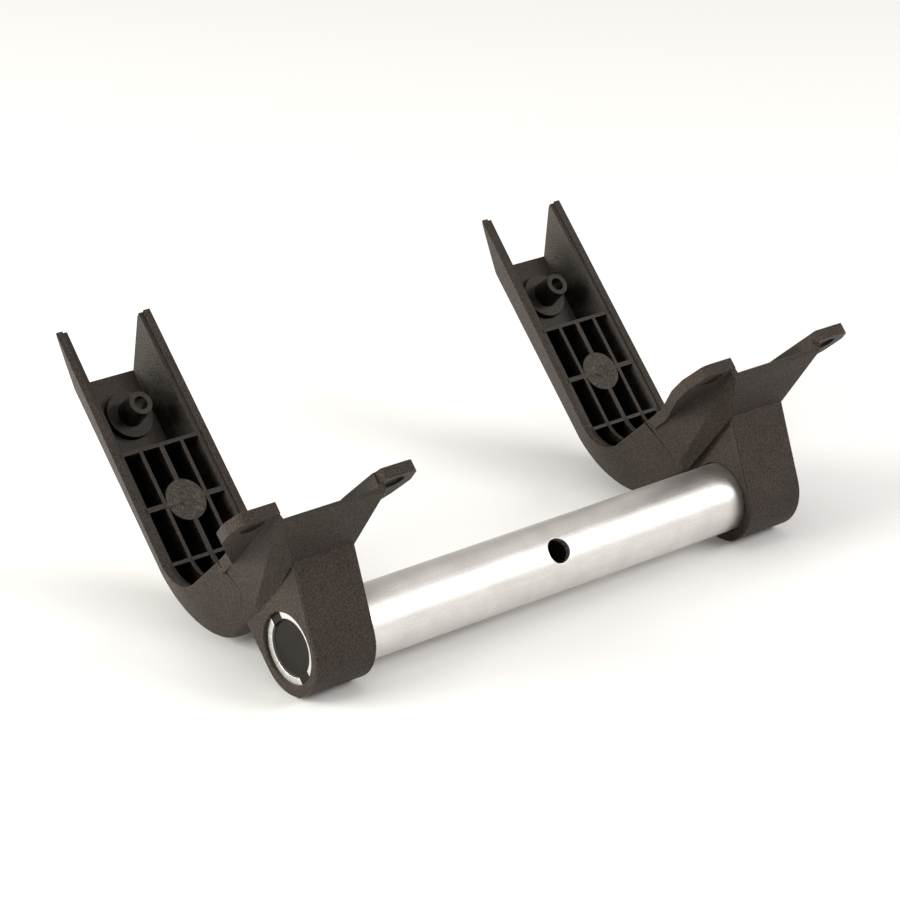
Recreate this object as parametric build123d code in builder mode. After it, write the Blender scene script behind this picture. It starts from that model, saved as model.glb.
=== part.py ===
from build123d import *
import math
import os

os.makedirs("parts", exist_ok=True)

# ---------------------------------------------------------------- sizes (mm)
# The bar lies along X.  Each bracket is an angle of two open channels at 90
# degrees, leaning back 45 degrees: "u" runs up the arm (back and up) and "n"
# runs out of the open side (forward and up).
lean = math.sqrt(0.5)

tube_od = 25.0
tube_id = 20.0
tube_half = 107.0
pin_hole_d = 9.0
pin_hole_tilt = 39.0            # above horizontal, towards the front

arm_x = 94.9                    # middle of the arm
rim_half = 20.3                 # half width across the rims, at the elbow
rim_half_tip = 19.3             # the same at the arm's tip
back_half = 13.3                # half width across the back
rim_wall = 4.4
floor_half = 10.4
web = 2.4
rim_n = -37.5                   # plane of the arm's rims
top_u = 36.0                    # plane of the leg's rims and of the ears
arm_depth = 13.9                # at the elbow
tip_depth = 15.0                # at the arm's tip
corner_r = 13.0                 # inside corner where the two rim planes meet
back_round = 3.2
fan = (0.0, 22.5, 45.0, 67.5, 90.0)
reach = (26.9, 26.9, 28.7, 31.9, 34.5)

arm_end_u = 138.6               # tip of the side walls
web_end_u = 118.5               # end of the arm's back
ledge_depth = 0.6
ledge_wide = 1.5

leg_mid_n = -5.0                # where the leg starts to taper
crease_n = 26.7                 # where the socket's front meets the leg
leg_tip_n = 45.4
leg_tip_u = 29.0
wall_step = 0.35                # leg walls set in from the elbow's sides

cross_rib_u = (89.3, 68.1, 47.7)
cross_rib_t = (1.3, 1.8, 1.3)
long_rib_dx = (-8.4, 0.0, 8.4)
long_rib_t = (1.3, 1.8, 1.3)
rib_drop = 0.35
rib_end_n = -12.0

boss_u = 105.4
boss_d = 8.2
boss_hole_d = 5.0
boss_pad_d = 18.0
boss_sink_d = 11.0
boss_sink_n = -50.0             # bottom of the screw-head recess
disc_d = 15.2
disc_nub_d = 4.6

socket_x0 = 85.1
socket_x1 = 109.4
socket_r = 15.8
socket_u = -0.8
socket_n = 0.9
crease_u = 20.4
crease_r = 8.0                  # hollow curve between the socket's front and the leg
side_recess = 0.9
strap_edge = 1.8                # width of the strap left proud of the socket's sides
bore_chamfer = 0.4
bore_d = 25.1

ear_t = 4.0
ear_hole_d = 4.6
ear_sink_d = 9.0
ear_sink = 1.1
ear_tip_n = 47.9
ear_blend_r = 9.0               # hollow curve where an ear leaves the leg's wall
ear_hole_n = 41.0
outer_ear_x = 127.0
inner_ear_x = 71.4

plug_d = 19.9
plug_inset = 1.0                # plug face below the end of the bar
plug_len = 18.0
lug_w = 6.0
lug_len = 5.0
lug_gap = 0.05

bush_len = 36.0
bush_hole_past_axis = 4.0


def world(x, u, n):
    """Point in the leaning bracket axes -> point in the part's frame."""
    return (x, (u - n) * lean, (u + n) * lean)


def side_plane(x):
    """Plane across the part: local x is u, local y is n."""
    return Plane(origin=(x, 0, 0), x_dir=(0, lean, lean), z_dir=(1, 0, 0))


def leg_plane(n):
    """Plane square to n: local x is X, local y is u."""
    return Plane(origin=world(0, 0, n), x_dir=(1, 0, 0), z_dir=(0, -lean, lean))


def down_plane(u):
    """Plane facing down the arm: local x is X, local y is n."""
    return Plane(origin=world(0, u, 0), x_dir=(1, 0, 0), z_dir=(0, -lean, -lean))


corner_u = top_u + corner_r
corner_n = rim_n + corner_r
corner_axis = Axis(origin=world(0, corner_u, corner_n), direction=(1, 0, 0))


def fan_plane(angle, along=0.0):
    """Section plane through the axis of the inside corner: local y points out."""
    c = math.cos(math.radians(angle))
    s = math.sin(math.radians(angle))
    tangent = (0, (c + s) * lean, (c - s) * lean)
    return Plane(
        origin=world(arm_x, corner_u, corner_n), x_dir=(1, 0, 0), z_dir=tangent
    ).offset(along)


def fan_point(angle, r):
    """(u, n) of a point at radius r round the inside corner."""
    c = math.cos(math.radians(angle))
    s = math.sin(math.radians(angle))
    return (corner_u - r * s, corner_n - r * c)


def outer_section(plane, r, half=rim_half):
    with BuildSketch(plane) as sketch:
        Polygon(
            (-half, corner_r), (half, corner_r),
            (back_half, r), (-back_half, r), align=None,
        )
        fillet(sketch.vertices().sort_by(Axis.Y)[-2:], back_round)
    return sketch.sketch


def inner_section(plane, r, half=rim_half):
    mouth = half - rim_wall
    grow = (mouth - floor_half) / (arm_depth - web)
    with BuildSketch(plane) as sketch:
        Polygon(
            (-mouth - grow, corner_r - 1), (mouth + grow, corner_r - 1),
            (floor_half, r - web), (-floor_half, r - web), align=None,
        )
    return sketch.sketch


def ledge_section(along, half, side):
    with BuildSketch(fan_plane(0, along)) as sketch:
        with Locations((side * (half - rim_wall + ledge_wide / 2), corner_r)):
            Rectangle(ledge_wide + 0.4, 2 * ledge_depth)
    return sketch.sketch


def nearest(sketch, x, n):
    """Corner of a sketch on the ears' plane nearest to a point."""
    return sketch.vertices().sort_by_distance(Vector(*world(x, top_u, n)))[0]


def leg_section(n, points):
    with BuildSketch(leg_plane(n)) as sketch:
        Polygon(*points, align=None)
    return sketch.sketch


def tangent_point(pu, pn):
    """Where the socket's flat front runs into its round bottom."""
    d = math.hypot(pu - socket_u, pn - socket_n)
    a = math.atan2(pn - socket_n, pu - socket_u) + math.acos(socket_r / d)
    return (socket_u + socket_r * math.cos(a), socket_n + socket_r * math.sin(a))


touch = tangent_point(crease_u, crease_n)
arm_run = arm_end_u - corner_u
leg_run = leg_mid_n - corner_n
back_r = corner_r + arm_depth
tip_r = corner_r + tip_depth
wall_x0 = arm_x - rim_half + wall_step
wall_x1 = arm_x + rim_half - wall_step


def socket_profile(x):
    """Round bottom, flat front and the hollow curve that runs out into the leg."""
    up_leg = (leg_tip_u - crease_u) / (leg_tip_n - crease_n)
    with BuildSketch(side_plane(x)) as sketch:
        with Locations((socket_u, socket_n)):
            Circle(socket_r)
        Polygon(
            touch, (crease_u, crease_n), (crease_u + 5 * up_leg, crease_n + 5),
            (crease_u + 5 * up_leg + 1, crease_n + 5), (16.0, leg_mid_n),
            (16.0, socket_n - socket_r), (socket_u, socket_n - socket_r),
            (socket_u, socket_n), align=None,
        )
        crease = sketch.vertices().sort_by_distance(side_plane(x).from_local_coords(
            Vector(crease_u, crease_n, 0)))[0]
        fillet(crease, crease_r)
    return sketch.sketch


def side_profile(x):
    """What is cut from the socket's sides: all but a crescent-edged strap along its front."""
    front = math.atan2(crease_n - touch[1], crease_u - touch[0])
    in_u = strap_edge * math.sin(front)
    in_n = -strap_edge * math.cos(front)
    with BuildSketch(side_plane(x)) as sketch:
        with Locations((socket_u + in_u, socket_n + in_n)):
            Circle(socket_r)
        Polygon(
            (touch[0] + in_u, touch[1] + in_n), (crease_u + in_u + 3, crease_n + in_n + 1.3),
            (40.0, leg_mid_n), (16.0, -30.0), (socket_u, -30.0),
            (socket_u + in_u, socket_n + in_n), align=None,
        )
    return sketch.sketch


# ------------------------------------------------------------ right bracket
with BuildPart() as right_bracket:
    # socket that holds the end of the bar, its sides set back behind the front strap
    extrude(socket_profile(socket_x0), amount=socket_x1 - socket_x0)
    for x0, depth in ((socket_x0 - 1, side_recess + 1), (socket_x1 - side_recess, 2.0)):
        extrude(side_profile(x0), amount=depth, mode=Mode.SUBTRACT)

    # elbow, arm and the straight start of the lower leg
    loft([outer_section(fan_plane(a), r) for a, r in zip(fan, reach)])
    arm_sections = (
        outer_section(fan_plane(0), back_r),
        outer_section(fan_plane(0, arm_run), tip_r, rim_half_tip),
    )
    loft(arm_sections, ruled=True)
    extrude(outer_section(fan_plane(90), reach[-1]), amount=-leg_run)

    # tapering end of the lower leg, wider and shallower towards its tip
    leg_start = leg_section(leg_mid_n, (
        (wall_x0, 36.0), (80.1, 17.6), (82.6, 14.5),
        (107.2, 14.5), (109.7, 17.6), (wall_x1, 36.0),
    ))
    leg_middle = leg_section(crease_n, (
        (77.2, 36.0), (79.2, 26.0), (socket_x0 - 0.5, crease_u),
        (socket_x1 + 0.5, crease_u), (116.4, 26.0), (119.6, 36.0),
    ))
    leg_tip = leg_section(leg_tip_n, (
        (77.4, 36.0), (77.4, 31.0), (78.0, leg_tip_u),
        (119.6, leg_tip_u), (121.5, 31.0), (121.9, 36.0),
    ))
    loft([leg_start, leg_middle, leg_tip], ruled=True)

    # ears for the case screws
    with BuildSketch(down_plane(top_u)) as outer_ear:
        Polygon(
            (112.9, -8.0), (wall_x1, -6.0), (wall_x1, 2.0), (134.6, 32.4), (136.6, 41.0),
            (133.8, ear_tip_n), (119.9, ear_tip_n), (118.6, 42.0), (117.0, 26.7), align=None,
        )
        fillet(outer_ear.vertices().sort_by(Axis.X)[-3:], 3.0)
        fillet(nearest(outer_ear, wall_x1, 2.0), ear_blend_r)
    extrude(amount=ear_t)
    with BuildSketch(down_plane(top_u)) as inner_ear:
        Polygon(
            (77.0, -4.0), (wall_x0, -2.0), (wall_x0, 6.0), (64.0, 28.0), (61.8, 38.0),
            (64.8, ear_tip_n), (77.9, ear_tip_n), (79.9, 42.0), (79.6, 26.7), align=None,
        )
        fillet(inner_ear.vertices().sort_by(Axis.X)[:3], 3.0)
        fillet(nearest(inner_ear, wall_x0, 6.0), ear_blend_r)
    extrude(amount=ear_t)

    # hollow of the arm, the elbow and the leg
    hollow = [inner_section(fan_plane(a), r) for a, r in zip(fan, reach)]
    loft(hollow, mode=Mode.SUBTRACT)
    arm_hollow = (
        inner_section(fan_plane(0), back_r),
        inner_section(fan_plane(0, arm_run), tip_r, rim_half_tip),
    )
    loft(arm_hollow, ruled=True, mode=Mode.SUBTRACT)
    extrude(inner_section(fan_plane(90), reach[-1]), amount=-leg_run, mode=Mode.SUBTRACT)
    trough_start = leg_section(leg_mid_n, (
        (78.4, 37.0), (84.7, 16.9), (105.1, 16.9), (111.4, 37.0),
    ))
    trough_middle = leg_section(crease_n, (
        (80.5, 37.0), (86.8, 22.9), (108.6, 22.9), (116.5, 37.0),
    ))
    trough_tip = leg_section(leg_tip_n + 1, (
        (79.5, 37.0), (79.7, 31.1), (118.7, 31.1), (119.8, 37.0),
    ))
    loft([trough_start, trough_middle, trough_tip], ruled=True, mode=Mode.SUBTRACT)

    # slanted ends of the arm's side walls
    with BuildSketch(side_plane(arm_x - 30)):
        Polygon(
            (arm_end_u - 1.2, rim_n + 3), (arm_end_u - 1.2, rim_n),
            (arm_end_u - 2.4, rim_n - 1.6), (web_end_u, rim_n - tip_depth + 0.6),
            (web_end_u, rim_n - tip_depth - 3), (arm_end_u + 5, rim_n - tip_depth - 3),
            (arm_end_u + 5, rim_n + 3), align=None,
        )
    extrude(amount=60, mode=Mode.SUBTRACT)

    # shallow ledge along the inside of both rims of the arm
    inner_edge = rim_half - rim_wall
    for side in (-1, 1):
        ledge = (ledge_section(0, rim_half, side), ledge_section(arm_run, rim_half_tip, side))
        loft(ledge, ruled=True, mode=Mode.SUBTRACT)
        revolve(ledge_section(0, rim_half, side), axis=corner_axis, revolution_arc=-90,
                mode=Mode.SUBTRACT)

    # cross ribs
    grow = (inner_edge - floor_half) / (arm_depth - web)
    for u, t in zip(cross_rib_u, cross_rib_t):
        with BuildSketch(fan_plane(0, u - corner_u)):
            Polygon(
                (-inner_edge - 0.3, corner_r + rib_drop),
                (inner_edge + 0.3, corner_r + rib_drop),
                (floor_half + 0.6, back_r - web + 0.6),
                (-floor_half - 0.6, back_r - web + 0.6), align=None,
            )
        extrude(amount=t / 2, both=True)

    # long ribs, following the elbow down into the leg
    deep = 1.1
    for dx, t in zip(long_rib_dx, long_rib_t):
        with BuildSketch(side_plane(arm_x + dx)):
            with BuildLine():
                r_in = corner_r + rib_drop
                far = cross_rib_u[0]
                Polyline(
                    (corner_u, rim_n - rib_drop), (far, rim_n - rib_drop),
                    (far, corner_n - back_r + deep), (corner_u, corner_n - back_r + deep),
                )
                ThreePointArc(
                    (corner_u, corner_n - back_r + deep),
                    fan_point(45, reach[2] - deep - 0.4),
                    fan_point(90, reach[4] - deep),
                )
                Polyline(
                    fan_point(90, reach[4] - deep),
                    (corner_u - reach[4] + deep, rib_end_n),
                    (top_u - 9.0, rib_end_n), (top_u - rib_drop, corner_n + 3),
                    fan_point(90, r_in),
                )
                ThreePointArc(
                    fan_point(90, r_in), fan_point(45, r_in), (corner_u, rim_n - rib_drop)
                )
            make_face()
        extrude(amount=t / 2, both=True)

    # round pad at the rib crossing, with its small centre nub
    with BuildSketch(leg_plane(rim_n - arm_depth + 1)):
        with Locations((arm_x, cross_rib_u[1])):
            Circle(disc_d / 2)
    extrude(amount=arm_depth - 1 - 0.5)
    with BuildSketch(leg_plane(rim_n - 2)):
        with Locations((arm_x, cross_rib_u[1])):
            Circle(disc_nub_d / 2)
    extrude(amount=1.8)

    # screw boss on its pad, with the hole and the screw-head recess behind
    with BuildSketch(leg_plane(rim_n - arm_depth + 1)):
        with Locations((arm_x, boss_u)):
            Circle(boss_pad_d / 2)
    extrude(amount=3.2, taper=8)
    with BuildSketch(leg_plane(rim_n - arm_depth + 1)):
        with Locations((arm_x, boss_u)):
            Circle(boss_d / 2 + 1.0)
    extrude(amount=arm_depth - 1 - 0.3, taper=4)
    with BuildSketch(leg_plane(rim_n - arm_depth - 3)):
        with Locations((arm_x, boss_u)):
            Circle(boss_hole_d / 2)
    extrude(amount=arm_depth + 5, mode=Mode.SUBTRACT)
    boss_sink_from = rim_n - arm_depth - 3
    with BuildSketch(leg_plane(boss_sink_from)):
        with Locations((arm_x, boss_u)):
            Circle(boss_sink_d / 2)
    extrude(amount=boss_sink_n - boss_sink_from, mode=Mode.SUBTRACT)

    # bore for the bar
    with BuildSketch(side_plane(socket_x0 - 8)):
        Circle(bore_d / 2)
    extrude(amount=socket_x1 - socket_x0 + 12, mode=Mode.SUBTRACT)
    for face_x, turn in ((socket_x0 + side_recess, 1), (socket_x1 - side_recess, -1)):
        with BuildSketch(Plane.YZ.offset(face_x)) as mouth:
            Circle(bore_d / 2 + bore_chamfer)
        extrude(mouth.sketch, amount=turn * bore_chamfer, taper=45, mode=Mode.SUBTRACT)

    # screw holes through the ears, sunk from below
    for x in (outer_ear_x, inner_ear_x):
        with BuildSketch(down_plane(top_u + 1)):
            with Locations((x, ear_hole_n)):
                Circle(ear_hole_d / 2)
        extrude(amount=ear_t + 2, mode=Mode.SUBTRACT)
        with BuildSketch(down_plane(top_u - ear_t + ear_sink)):
            with Locations((x, ear_hole_n)):
                Circle(ear_sink_d / 2)
        extrude(amount=ear_sink + 1, mode=Mode.SUBTRACT)

right_bracket.part.label = "right_bracket"
export_step(right_bracket.part, "parts/right_bracket.step")

# ------------------------------------------------------------- left bracket
with BuildPart() as left_bracket:
    mirror(right_bracket.part, about=Plane.YZ)

left_bracket.part.label = "left_bracket"
export_step(left_bracket.part, "parts/left_bracket.step")

# --------------------------------------------------------------- cross tube
pin_dir = (
    0, -math.cos(math.radians(pin_hole_tilt)), math.sin(math.radians(pin_hole_tilt))
)
pin_plane = Plane(origin=(0, 0, 0), x_dir=(1, 0, 0), z_dir=pin_dir)
with BuildPart() as cross_tube:
    with BuildSketch(Plane.YZ):
        Circle(tube_od / 2)
        Circle(tube_id / 2, mode=Mode.SUBTRACT)
    extrude(amount=tube_half, both=True)
    for side in (-1, 1):
        with BuildSketch(leg_plane(0)):
            with Locations((side * (tube_half - lug_len / 2 + 1), 0)):
                Rectangle(lug_len + 2, tube_od + 4)
        extrude(amount=lug_w / 2, both=True, mode=Mode.SUBTRACT)
    with BuildSketch(pin_plane):
        Circle(pin_hole_d / 2)
    extrude(amount=tube_od, mode=Mode.SUBTRACT)

cross_tube.part.label = "cross_tube"
export_step(cross_tube.part, "parts/cross_tube.step")


def end_plug(side):
    """Plug that fills the bar's end, with two lugs through its end notches."""
    x_in = tube_half - plug_inset - plug_len
    with BuildSketch(Plane.YZ.offset(side * x_in)) as round_body:
        Circle(plug_d / 2)
    extrude(round_body.sketch, amount=side * plug_len)
    with BuildSketch(leg_plane(0)) as lugs:
        mid = tube_half - lug_len / 2
        with Locations((side * mid, 0)):
            Rectangle(lug_len - 2 * lug_gap, tube_od + 2)
    extrude(lugs.sketch, amount=lug_w / 2 - lug_gap, both=True)
    with BuildSketch(Plane.YZ.offset(side * (x_in - 1))) as envelope:
        Circle(tube_od / 2)
    extrude(envelope.sketch, amount=side * (plug_len + 4), mode=Mode.INTERSECT)
    with BuildSketch(Plane.YZ.offset(side * (tube_half - plug_inset))) as end_face:
        Circle(tube_id / 2 - 0.4)
    extrude(end_face.sketch, amount=side * (plug_inset + 1), mode=Mode.SUBTRACT)


# ---------------------------------------------------------------- end plugs
with BuildPart() as right_end_plug:
    end_plug(1)

right_end_plug.part.label = "right_end_plug"
export_step(right_end_plug.part, "parts/right_end_plug.step")

with BuildPart() as left_end_plug:
    end_plug(-1)

left_end_plug.part.label = "left_end_plug"
export_step(left_end_plug.part, "parts/left_end_plug.step")

# ------------------------------------------- bush behind the wheel pin hole
with BuildPart() as pin_bush:
    with BuildSketch(Plane.YZ):
        Circle(plug_d / 2)
    extrude(amount=bush_len / 2, both=True)
    with BuildSketch(pin_plane.offset(-bush_hole_past_axis)):
        Circle(pin_hole_d / 2)
    extrude(amount=tube_od, mode=Mode.SUBTRACT)

pin_bush.part.label = "pin_bush"
export_step(pin_bush.part, "parts/pin_bush.step")
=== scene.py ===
import math

import bpy
from mathutils import Matrix, Vector


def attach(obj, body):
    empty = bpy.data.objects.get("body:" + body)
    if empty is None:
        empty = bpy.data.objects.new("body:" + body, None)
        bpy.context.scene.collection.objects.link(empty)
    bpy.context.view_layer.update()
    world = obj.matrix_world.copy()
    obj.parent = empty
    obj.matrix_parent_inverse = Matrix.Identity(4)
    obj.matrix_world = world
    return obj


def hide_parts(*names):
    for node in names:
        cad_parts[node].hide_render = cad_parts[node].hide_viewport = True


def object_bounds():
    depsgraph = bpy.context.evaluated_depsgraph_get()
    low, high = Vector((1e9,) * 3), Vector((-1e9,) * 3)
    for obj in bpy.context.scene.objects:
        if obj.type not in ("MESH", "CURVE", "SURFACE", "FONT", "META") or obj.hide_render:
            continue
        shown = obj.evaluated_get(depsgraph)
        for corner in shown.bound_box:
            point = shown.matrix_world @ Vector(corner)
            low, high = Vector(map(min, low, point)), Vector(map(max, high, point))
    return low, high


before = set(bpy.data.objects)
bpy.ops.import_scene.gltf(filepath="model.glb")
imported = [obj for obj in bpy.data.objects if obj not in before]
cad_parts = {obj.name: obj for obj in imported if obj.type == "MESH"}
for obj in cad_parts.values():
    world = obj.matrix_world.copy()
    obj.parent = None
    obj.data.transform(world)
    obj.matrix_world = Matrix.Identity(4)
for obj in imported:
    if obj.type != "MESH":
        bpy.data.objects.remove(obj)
cad_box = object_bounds()
bpy.ops.object.select_all(action="DESELECT")
scene = bpy.context.scene

# ------------------------------------------------------------------ the part's own directions
# "up_arm" runs along the arms, back and up; "open_side" points out of their open side. A place
# on a bracket is given by u, its distance up the arm, and n, its distance out of the open side,
# both from the middle of the bar.
mm = 0.001
lean = math.sqrt(0.5)
along_bar = Vector((1.0, 0.0, 0.0))
up_arm = Vector((0.0, lean, lean))
open_side = Vector((0.0, -lean, lean))

arm_x = 94.9 * mm               # middle of an arm
rim_plane = -37.5 * mm          # n of the arm's rims
leg_plane = 36.0 * mm           # u of the leg's rims
corner_radius = 13.0 * mm       # inside corner where the two rim planes meet
bar_radius = 12.5 * mm

leg_start_n = -5.0 * mm         # where the straight elbow hands over to the tapering leg
wall_top = 19.95 * mm           # half width of the leg there, at its rims
wall_foot = 14.8 * mm           # and at the foot of its side walls
wall_foot_u = 17.6 * mm

socket_sides = (85.1 * mm, 109.4 * mm)
socket_radius = 15.8 * mm
socket_middle = Vector((-0.8 * mm, 0.9 * mm))       # in u and n, as is the next
crease = Vector((20.4 * mm, 26.7 * mm))             # where the socket's flat front meets the leg

pad_u = 68.1 * mm               # round pad where the ribs cross
pad_radius = 7.6 * mm

# fine lines cut into the brackets
crease_line_width = 0.42 * mm
crease_line_depth = 0.65 * mm
crease_line_share = 0.98        # of the wall's height, so that the line stops short of its rim
strap_line_in = 0.6 * mm        # this far behind the strap's front
strap_line_width = 0.4 * mm
strap_line_overlap = 0.1 * mm   # extra length, so that the straight and the round stretch join

# merging and shading of the copied brackets
seam_gap = 0.002 * mm
flat_angle = math.radians(1.0)
smooth_angle = math.radians(24.0)


# ------------------------------------------------------------------ shader maths
class Value:
    """A number or colour in a material: arithmetic on it adds the nodes."""

    def __init__(self, maker, socket):
        self.maker = maker
        self.socket = socket

    def maths(self, operation, *values):
        return self.maker.node("ShaderNodeMath", {"operation": operation}, dict(enumerate(values)))

    def __add__(self, other):
        return self.maths("ADD", self, other)

    def __radd__(self, other):
        return self.maths("ADD", other, self)

    def __sub__(self, other):
        return self.maths("SUBTRACT", self, other)

    def __rsub__(self, other):
        return self.maths("SUBTRACT", other, self)

    def __mul__(self, other):
        return self.maths("MULTIPLY", self, other)

    def __rmul__(self, other):
        return self.maths("MULTIPLY", other, self)

    def __truediv__(self, other):
        return self.maths("DIVIDE", self, other)

    def __rtruediv__(self, other):
        return self.maths("DIVIDE", other, self)

    def __pow__(self, other):
        return self.maths("POWER", self, other)

    def __abs__(self):
        return self.maths("ABSOLUTE", self)

    def at_least(self, other):
        return self.maths("MAXIMUM", self, other)

    def at_most(self, other):
        return self.maths("MINIMUM", self, other)

    def ramp(self, low, high, start=0.0, end=1.0):
        """Smoothly from start to end as this value goes from low to high."""
        settings = {"interpolation_type": "SMOOTHSTEP"}
        sockets = {0: self, 1: low, 2: high, 3: start, 4: end}
        return self.maker.node("ShaderNodeMapRange", settings, sockets)


class Material:
    """Makes one node material, with a Principled shader at its end.

    `constants` gives the shader's sockets that are the same all over the surface.
    """

    def __init__(self, name, constants):
        self.material = bpy.data.materials.new(name)
        self.material.use_nodes = True
        self.tree = self.material.node_tree
        self.tree.nodes.clear()
        self.shader = self.tree.nodes.new("ShaderNodeBsdfPrincipled")
        output = self.tree.nodes.new("ShaderNodeOutputMaterial")
        self.tree.links.new(self.shader.outputs["BSDF"], output.inputs["Surface"])
        for socket, value in constants.items():
            self.shader.inputs[socket].default_value = value

    def node(self, kind, settings, sockets, out=0):
        """Adds a node, sets it, and links or sets its sockets, given by name or number."""
        made = self.tree.nodes.new(kind)
        for name, value in settings.items():
            setattr(made, name, value)
        for key, value in sockets.items():
            if isinstance(value, Value):
                self.tree.links.new(value.socket, made.inputs[key])
            else:
                made.inputs[key].default_value = value
        return Value(self, made.outputs[out])

    def place(self):
        return self.node("ShaderNodeTexCoord", {}, {}, out="Object")

    def parts_of(self, vector):
        """The x, y and z of a vector."""
        first = self.node("ShaderNodeSeparateXYZ", {}, {0: vector})
        return [Value(self, output) for output in first.socket.node.outputs]

    def vector(self, x, y, z):
        return self.node("ShaderNodeCombineXYZ", {}, {0: x, 1: y, 2: z})

    def along(self, vector, direction):
        """How far a vector goes in a direction."""
        settings = {"operation": "DOT_PRODUCT"}
        return self.node("ShaderNodeVectorMath", settings, {0: vector, 1: direction}, out="Value")

    def noise(self, vector, size, detail=3.0, roughness=0.5, distortion=0.0):
        """Cloudy noise from 0 to 1, with blotches about `size` metres across."""
        sockets = {"Vector": vector, "Scale": 1.0 / size, "Detail": detail,
                   "Roughness": roughness, "Distortion": distortion}
        return self.node("ShaderNodeTexNoise", {}, sockets)

    def mix(self, share, first, second):
        """Mixes two colours: `share` of 0 is the first, 1 is the second."""
        sockets = {0: share, 6: first, 7: second}
        return self.node("ShaderNodeMix", {"data_type": "RGBA"}, sockets, out=2)

    def soft_edge_normal(self, radius):
        """The surface's direction, as if its edges were rounded to this radius."""
        return self.node("ShaderNodeBevel", {"samples": 6}, {"Radius": radius})

    def edge_mask(self, radius):
        """0 on open faces, rising towards 1 along edges and corners."""
        rounded = self.soft_edge_normal(radius)
        flat = self.node("ShaderNodeNewGeometry", {}, {}, out="Normal")
        return 1.0 - self.along(rounded, flat)

    def bump(self, height, distance, normal):
        sockets = {"Strength": 1.0, "Distance": distance, "Height": height, "Normal": normal}
        return self.node("ShaderNodeBump", {}, sockets)

    def feed(self, **inputs):
        """Links values into the shader's sockets, and returns the finished material."""
        for name, value in inputs.items():
            self.tree.links.new(value.socket, self.shader.inputs[name.replace("_", " ")])
        return self.material


# ------------------------------------------------------------------ materials
def moulded_nylon():
    """Black nylon: grained outside, smoother inside the channels and darkened there by painted shade;
    lighter brown along the edges, partly wear and partly painted highlight.
    """
    black_low, black_high = (0.0145, 0.0107, 0.0087, 1), (0.038, 0.0285, 0.0236, 1)
    # painted shade: the darker colours of the channels' insides stand in for the shade that falls in
    # them
    shaded_inner_low, shaded_inner_high = (0.0042, 0.0033, 0.0027, 1), (0.0115, 0.0092, 0.0076, 1)
    pad_low, pad_high = (0.014, 0.0115, 0.0095, 1), (0.075, 0.065, 0.055, 1)
    # partly edge wear, partly painted highlight: a lighter brown along the edges where they catch light
    wear_and_highlight_brown = (0.1, 0.082, 0.068, 1)
    wear_and_highlight_share = 0.6
    pebble_size = 0.6 * mm
    fine_size = 0.3 * mm
    cloud_size = 14.0 * mm
    flow_size = 3.5 * mm
    swirl_size = 2.2 * mm
    edge_radius = 0.35 * mm
    grain_height = 0.17 * mm
    base_roughness = 0.6

    nylon = Material("moulded_nylon", {"Specular IOR Level": 0.27, "Specular Tint": (1.0, 0.9, 0.82, 1)})
    place = nylon.place()
    x = nylon.parts_of(place)[0]
    u = nylon.along(place, up_arm)
    n = nylon.along(place, open_side)
    inside = channel_mask(x, u, n)
    pad = pad_mask(x, u, n)
    wear_and_highlight = nylon.edge_mask(edge_radius).ramp(0.03, 0.2)

    pebbles = nylon.noise(place, pebble_size, detail=1.5, roughness=0.55).ramp(0.3, 0.7)
    fine = nylon.noise(place, fine_size, detail=2.0).ramp(0.3, 0.7)
    clouds = nylon.noise(place, cloud_size)
    flow = nylon.noise(place, flow_size, detail=4.0, distortion=1.5)
    swirl = nylon.noise(place, swirl_size, detail=5.0, roughness=0.65, distortion=3.0)
    swirl = swirl.ramp(0.35, 0.65)
    grain = pebbles * 0.75 + fine * 0.25
    tone = grain * 0.65 + clouds * 0.35

    colour = nylon.mix(tone.ramp(0.3, 0.7), black_low, black_high)
    # painted shade: a darker colour inside the channels stands in for the shade in them
    colour = nylon.mix(inside, colour, nylon.mix(flow.ramp(0.35, 0.7), shaded_inner_low, shaded_inner_high))
    colour = nylon.mix(pad, colour, nylon.mix(swirl, pad_low, pad_high))
    # painted highlight and wear: lighter brown laid along the edges and corners
    colour = nylon.mix(wear_and_highlight * wear_and_highlight_share, colour, wear_and_highlight_brown)
    roughness = base_roughness - grain * 0.12 - inside * 0.2 + flow * inside * 0.16 - wear_and_highlight * 0.08
    height = grain * (1.0 - inside * 0.85) + flow * inside * 0.3 + swirl * pad * 0.8
    normal = nylon.bump(height, grain_height, nylon.soft_edge_normal(edge_radius))
    return nylon.feed(Base_Color=colour, Roughness=roughness, Normal=normal)


def pad_mask(x, u, n):
    """1 on the face of the round pad at the rib crossing, fading out down its side."""
    rim_fade = 0.3 * mm
    side_fade = (-1.6 * mm, -1.2 * mm)      # heights against the arm's rims
    off_x = abs(x) - arm_x
    off_u = u - pad_u
    from_middle = (off_x * off_x + off_u * off_u) ** 0.5
    return (pad_radius - from_middle).ramp(0.0, rim_fade) * (n - rim_plane).ramp(*side_fade)


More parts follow.
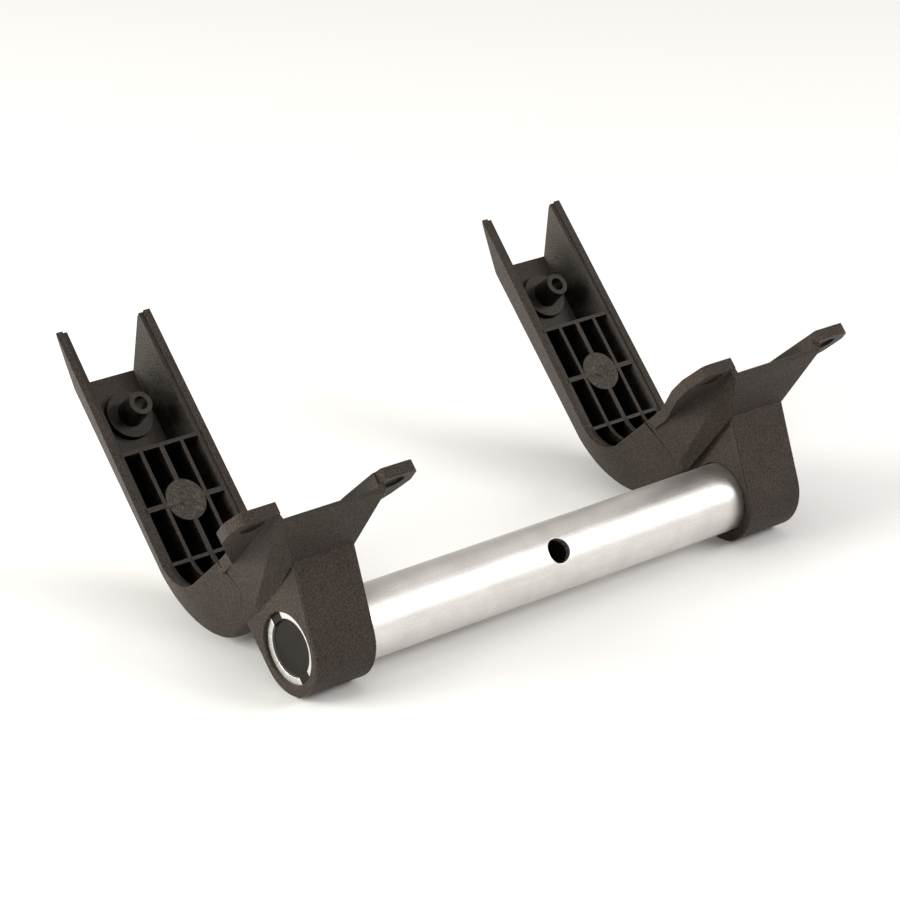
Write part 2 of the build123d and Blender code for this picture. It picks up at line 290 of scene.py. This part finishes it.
def channel_mask(x, u, n):
    """1 on the surfaces inside the arm, the elbow and the leg, 0 on the outside; it places the painted
    shade and the smoother finish inside the channels.

    Depth is measured in from the rims, round the corner at the elbow. The limits here fall
    between the inner and the outer face of each wall and floor. A slope is a change per metre.
    """
    half_fade = 0.3 * mm
    rim_fade = (0.1 * mm, 0.4 * mm)
    wall_at_rim = 18.0 * mm
    arm_wall_slope = 0.47
    leg_wall_slope_less = 0.17
    leg_splay = 0.089               # how much the leg's middle moves outwards
    leg_widening = 0.03
    arm_floor = 12.4 * mm
    leg_floor_start = 19.9 * mm
    leg_floor_slope = 0.19
    leg_tip_floor = 13.9 * mm       # at the crease, past which the floor rises faster
    leg_tip_slope = 0.42
    hair = 0.01 * mm                # keeps the division below away from zero

    towards_leg = (leg_plane + corner_radius) - u
    towards_arm = (rim_plane + corner_radius) - n
    out_u = towards_leg.at_least(0.0)
    out_n = towards_arm.at_least(0.0)
    around = (out_u * out_u + out_n * out_n) ** 0.5
    depth = around + towards_leg.at_least(towards_arm).at_most(0.0) - corner_radius
    leg_share = (out_u / (out_u + out_n + hair)).ramp(0.0, 1.0)
    past_elbow = (n - leg_start_n).at_least(0.0)

    across = abs(abs(x) - arm_x - past_elbow * leg_splay)
    wall_slope = arm_wall_slope - leg_share * leg_wall_slope_less
    wall = wall_at_rim - depth * wall_slope + past_elbow * leg_widening
    leg_floor = leg_floor_start - past_elbow * leg_floor_slope
    leg_floor = leg_floor.at_most(leg_tip_floor - (n - crease.y) * leg_tip_slope)
    floor = arm_floor * (1.0 - leg_share) + leg_floor * leg_share
    between_walls = (wall - across).ramp(-half_fade, half_fade)
    above_floor = (floor - depth).ramp(-half_fade, half_fade)
    return between_walls * depth.ramp(*rim_fade) * above_floor


def anodised_bar():
    """Satin anodised aluminium with fine grain round the bar and faint drawing lines along it."""
    grey_low, grey_high = (0.58, 0.565, 0.54, 1), (0.84, 0.825, 0.80, 1)
    grain_size = 0.28 * mm
    grain_stretch = 0.35            # shares of the true distance, so smaller is longer
    line_size = 0.5 * mm
    line_stretch = 0.02
    cloud_size = 9.0 * mm
    grain_height = 0.03 * mm
    edge_radius = 0.35 * mm
    base_roughness = 0.33

    bar = Material("satin_anodised_aluminium", {"Metallic": 1.0})
    place = bar.place()
    x, y, z = bar.parts_of(place)
    round_bar = z.maths("ARCTAN2", z, y) * bar_radius
    grain = bar.noise(bar.vector(x, round_bar * grain_stretch, 0.0), grain_size, roughness=0.6)
    lines = bar.noise(bar.vector(x * line_stretch, round_bar, 0.0), line_size, detail=2.0)
    clouds = bar.noise(place, cloud_size)
    tone = grain * 0.6 + lines * 0.15 + clouds * 0.25
    colour = bar.mix(tone.ramp(0.25, 0.75), grey_low, grey_high)
    roughness = base_roughness + grain * 0.2 + clouds * 0.06
    normal = bar.bump(grain, grain_height, bar.soft_edge_normal(edge_radius))
    return bar.feed(Base_Color=colour, Roughness=roughness, Normal=normal)


def plug_plastic():
    """Plain moulded plastic of the pieces inside the bar."""
    black_low, black_high = (0.0065, 0.005, 0.004, 1), (0.0115, 0.009, 0.0073, 1)
    cloud_size = 5.0 * mm
    grain_size = 0.4 * mm
    grain_height = 0.03 * mm
    edge_radius = 0.3 * mm
    base_roughness = 0.52

    plug = Material("plug_plastic", {"Specular IOR Level": 0.2})
    place = plug.place()
    clouds = plug.noise(place, cloud_size)
    grain = plug.noise(place, grain_size, detail=2.0)
    colour = plug.mix(clouds.ramp(0.3, 0.7), black_low, black_high)
    roughness = base_roughness + clouds * 0.1
    normal = plug.bump(grain, grain_height, plug.soft_edge_normal(edge_radius))
    return plug.feed(Base_Color=colour, Roughness=roughness, Normal=normal)


# ------------------------------------------------------------------ pieces
def dress(node, material):
    """Gives a CAD piece its material and leaves its shape alone."""
    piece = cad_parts[node]
    piece.data.materials.clear()
    piece.data.materials.append(material)


def select_only(piece):
    bpy.ops.object.select_all(action="DESELECT")
    piece.select_set(True)
    bpy.context.view_layer.objects.active = piece


def merged_copy(node):
    """A copy of a CAD piece with its seams merged and its flat faces whole."""
    piece = bpy.data.objects.new(node + "_scored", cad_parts[node].data.copy())
    scene.collection.objects.link(piece)
    select_only(piece)
    bpy.ops.mesh.customdata_custom_splitnormals_clear()
    bpy.ops.object.mode_set(mode="EDIT")
    bpy.ops.mesh.select_all(action="SELECT")
    bpy.ops.mesh.remove_doubles(threshold=seam_gap)
    bpy.ops.mesh.dissolve_limited(angle_limit=flat_angle)
    bpy.ops.object.mode_set(mode="OBJECT")
    return piece


def stand_in(piece, node, material):
    """Puts the finished piece in the place of its CAD node."""
    select_only(piece)
    bpy.ops.object.shade_smooth_by_angle(angle=smooth_angle)
    piece.data.materials.clear()
    piece.data.materials.append(material)
    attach(piece, "root")
    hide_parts(node)


def cut_away(piece, cutter):
    """Takes the cutter's shape out of the piece and throws the cutter away."""
    select_only(piece)
    cut = piece.modifiers.new("groove", "BOOLEAN")
    cut.operation = "DIFFERENCE"
    cut.solver = "EXACT"
    cut.object = cutter
    bpy.ops.object.modifier_apply(modifier=cut.name)
    bpy.data.objects.remove(cutter)


def score(piece, centre, across, along, thin, size):
    """Cuts a fine straight groove: a box of `size` with its sides along the three directions."""
    bpy.ops.mesh.primitive_cube_add(size=1.0)
    cutter = bpy.context.object
    columns = [direction * length for direction, length in zip((across, along, thin), size)]
    cutter.matrix_world = Matrix.Translation(centre) @ Matrix(columns).transposed().to_4x4()
    cut_away(piece, cutter)


def bracket_place(x, u, n):
    return along_bar * x + up_arm * u + open_side * n


def score_crease(piece, side, face):
    """The fine line down a side wall where the elbow meets the leg."""
    foot = bracket_place((arm_x + face * wall_foot) * side, wall_foot_u, 0.0)
    top = bracket_place((arm_x + face * wall_top) * side, leg_plane, 0.0)
    along = (top - foot).normalized()
    across = along.cross(open_side).normalized()
    middle = (foot + top) / 2 + open_side * leg_start_n
    size = (2 * crease_line_depth, (top - foot).length * crease_line_share, crease_line_width)
    score(piece, middle, across, along, open_side, size)


def score_strap(piece, side, x):
    """The fine line on a side of the socket, just behind the front of its strap."""
    reach = crease - socket_middle
    turn = math.atan2(reach.y, reach.x) + math.acos(socket_radius / reach.length)
    touch = socket_middle + Vector((math.cos(turn), math.sin(turn))) * socket_radius
    run = (crease - touch).normalized()
    inward = Vector((run.y, -run.x)) * strap_line_in
    middle = (touch + crease) / 2 + inward
    along = up_arm * run.x + open_side * run.y
    straight = (crease - touch).length + strap_line_overlap
    score(piece, bracket_place(x * side, *middle), along_bar, along, along_bar.cross(along),
          (2 * strap_line_width, straight, strap_line_width))
    bpy.ops.mesh.primitive_torus_add(
        major_radius=socket_radius - strap_line_in, minor_radius=strap_line_width / 2,
        major_segments=96, minor_segments=8, location=bracket_place(x * side, *socket_middle),
        rotation=(0.0, math.pi / 2, 0.0))
    cut_away(piece, bpy.context.object)


nylon = moulded_nylon()
plug = plug_plastic()
for node, side in (("left_bracket", -1), ("right_bracket", 1)):
    bracket = merged_copy(node)
    for face in (-1, 1):
        score_crease(bracket, side, face)
    for x in socket_sides:
        score_strap(bracket, side, x)
    stand_in(bracket, node, nylon)
dress("cross_tube", anodised_bar())
dress("left_end_plug", plug)
dress("right_end_plug", plug)
dress("pin_bush", plug)
bpy.ops.object.select_all(action="DESELECT")


# ------------------------------------------------------------------ floor, light and camera
def studio_floor():
    """White paper under the lowest point of the part."""
    paper = Material("floor_paper", {"Roughness": 0.9, "Base Color": (0.8, 0.8, 0.8, 1)})
    bpy.ops.mesh.primitive_plane_add(size=12.0, location=(0, 0, cad_box[0][2]))
    floor = bpy.context.object
    floor.name = "floor"
    floor.data.materials.append(paper.material)


def softbox(name, place, aim, size, power, colour):
    """A rectangular light that faces `aim`; sizes in metres, power in watts."""
    light = bpy.data.lights.new(name, "AREA")
    light.shape = "RECTANGLE"
    light.size, light.size_y = size
    light.energy = power
    light.color = colour
    lamp = bpy.data.objects.new(name, light)
    lamp.location = place
    lamp.rotation_euler = (Vector(aim) - Vector(place)).to_track_quat("-Z", "Y").to_euler()
    scene.collection.objects.link(lamp)


def studio_light():
    world = bpy.data.worlds.new("pale_room")
    world.use_nodes = True
    room = world.node_tree.nodes["Background"]
    room.inputs["Color"].default_value = (0.84, 0.79, 0.755, 1)
    room.inputs["Strength"].default_value = 0.66
    scene.world = world
    softbox("front_right", place=(0.95, -1.0, 0.95), aim=(0, 0, 0.02), size=(1.0, 0.5),
            power=17.0, colour=(1.0, 0.985, 0.96))
    softbox("left_side", place=(-1.4, 0.5, 0.55), aim=(0, 0, 0.02), size=(1.0, 0.8),
            power=36.0, colour=(1.0, 1.0, 0.93))
    softbox("overhead", place=(0.0, 0.1, 1.7), aim=(0, 0, 0), size=(1.4, 1.4),
            power=7.0, colour=(0.97, 0.99, 1.0))


def front_camera():
    """A long lens from the front left, looking down on the part and a little tilted."""
    stand = (-0.6584, -0.7244, 0.4849)
    azimuth, elevation, roll = (math.radians(angle) for angle in (40.4, 24.42, 1.76))
    look = Vector((math.sin(azimuth) * math.cos(elevation),
                   math.cos(azimuth) * math.cos(elevation), -math.sin(elevation)))
    right = look.cross(Vector((0, 0, 1))).normalized()
    up = right.cross(look)
    side = right * math.cos(roll) + up * math.sin(roll)
    top = up * math.cos(roll) - right * math.sin(roll)
    lens = bpy.data.cameras.new("camera")
    lens.sensor_width = 36.0
    lens.lens = 127.1
    lens.clip_start = 0.01
    camera = bpy.data.objects.new("camera", lens)
    turned = Matrix((side, top, -look)).transposed().to_4x4()
    camera.matrix_world = Matrix.Translation(stand) @ turned
    scene.collection.objects.link(camera)
    scene.camera = camera


studio_floor()
studio_light()
front_camera()
scene.view_settings.view_transform = "Standard"
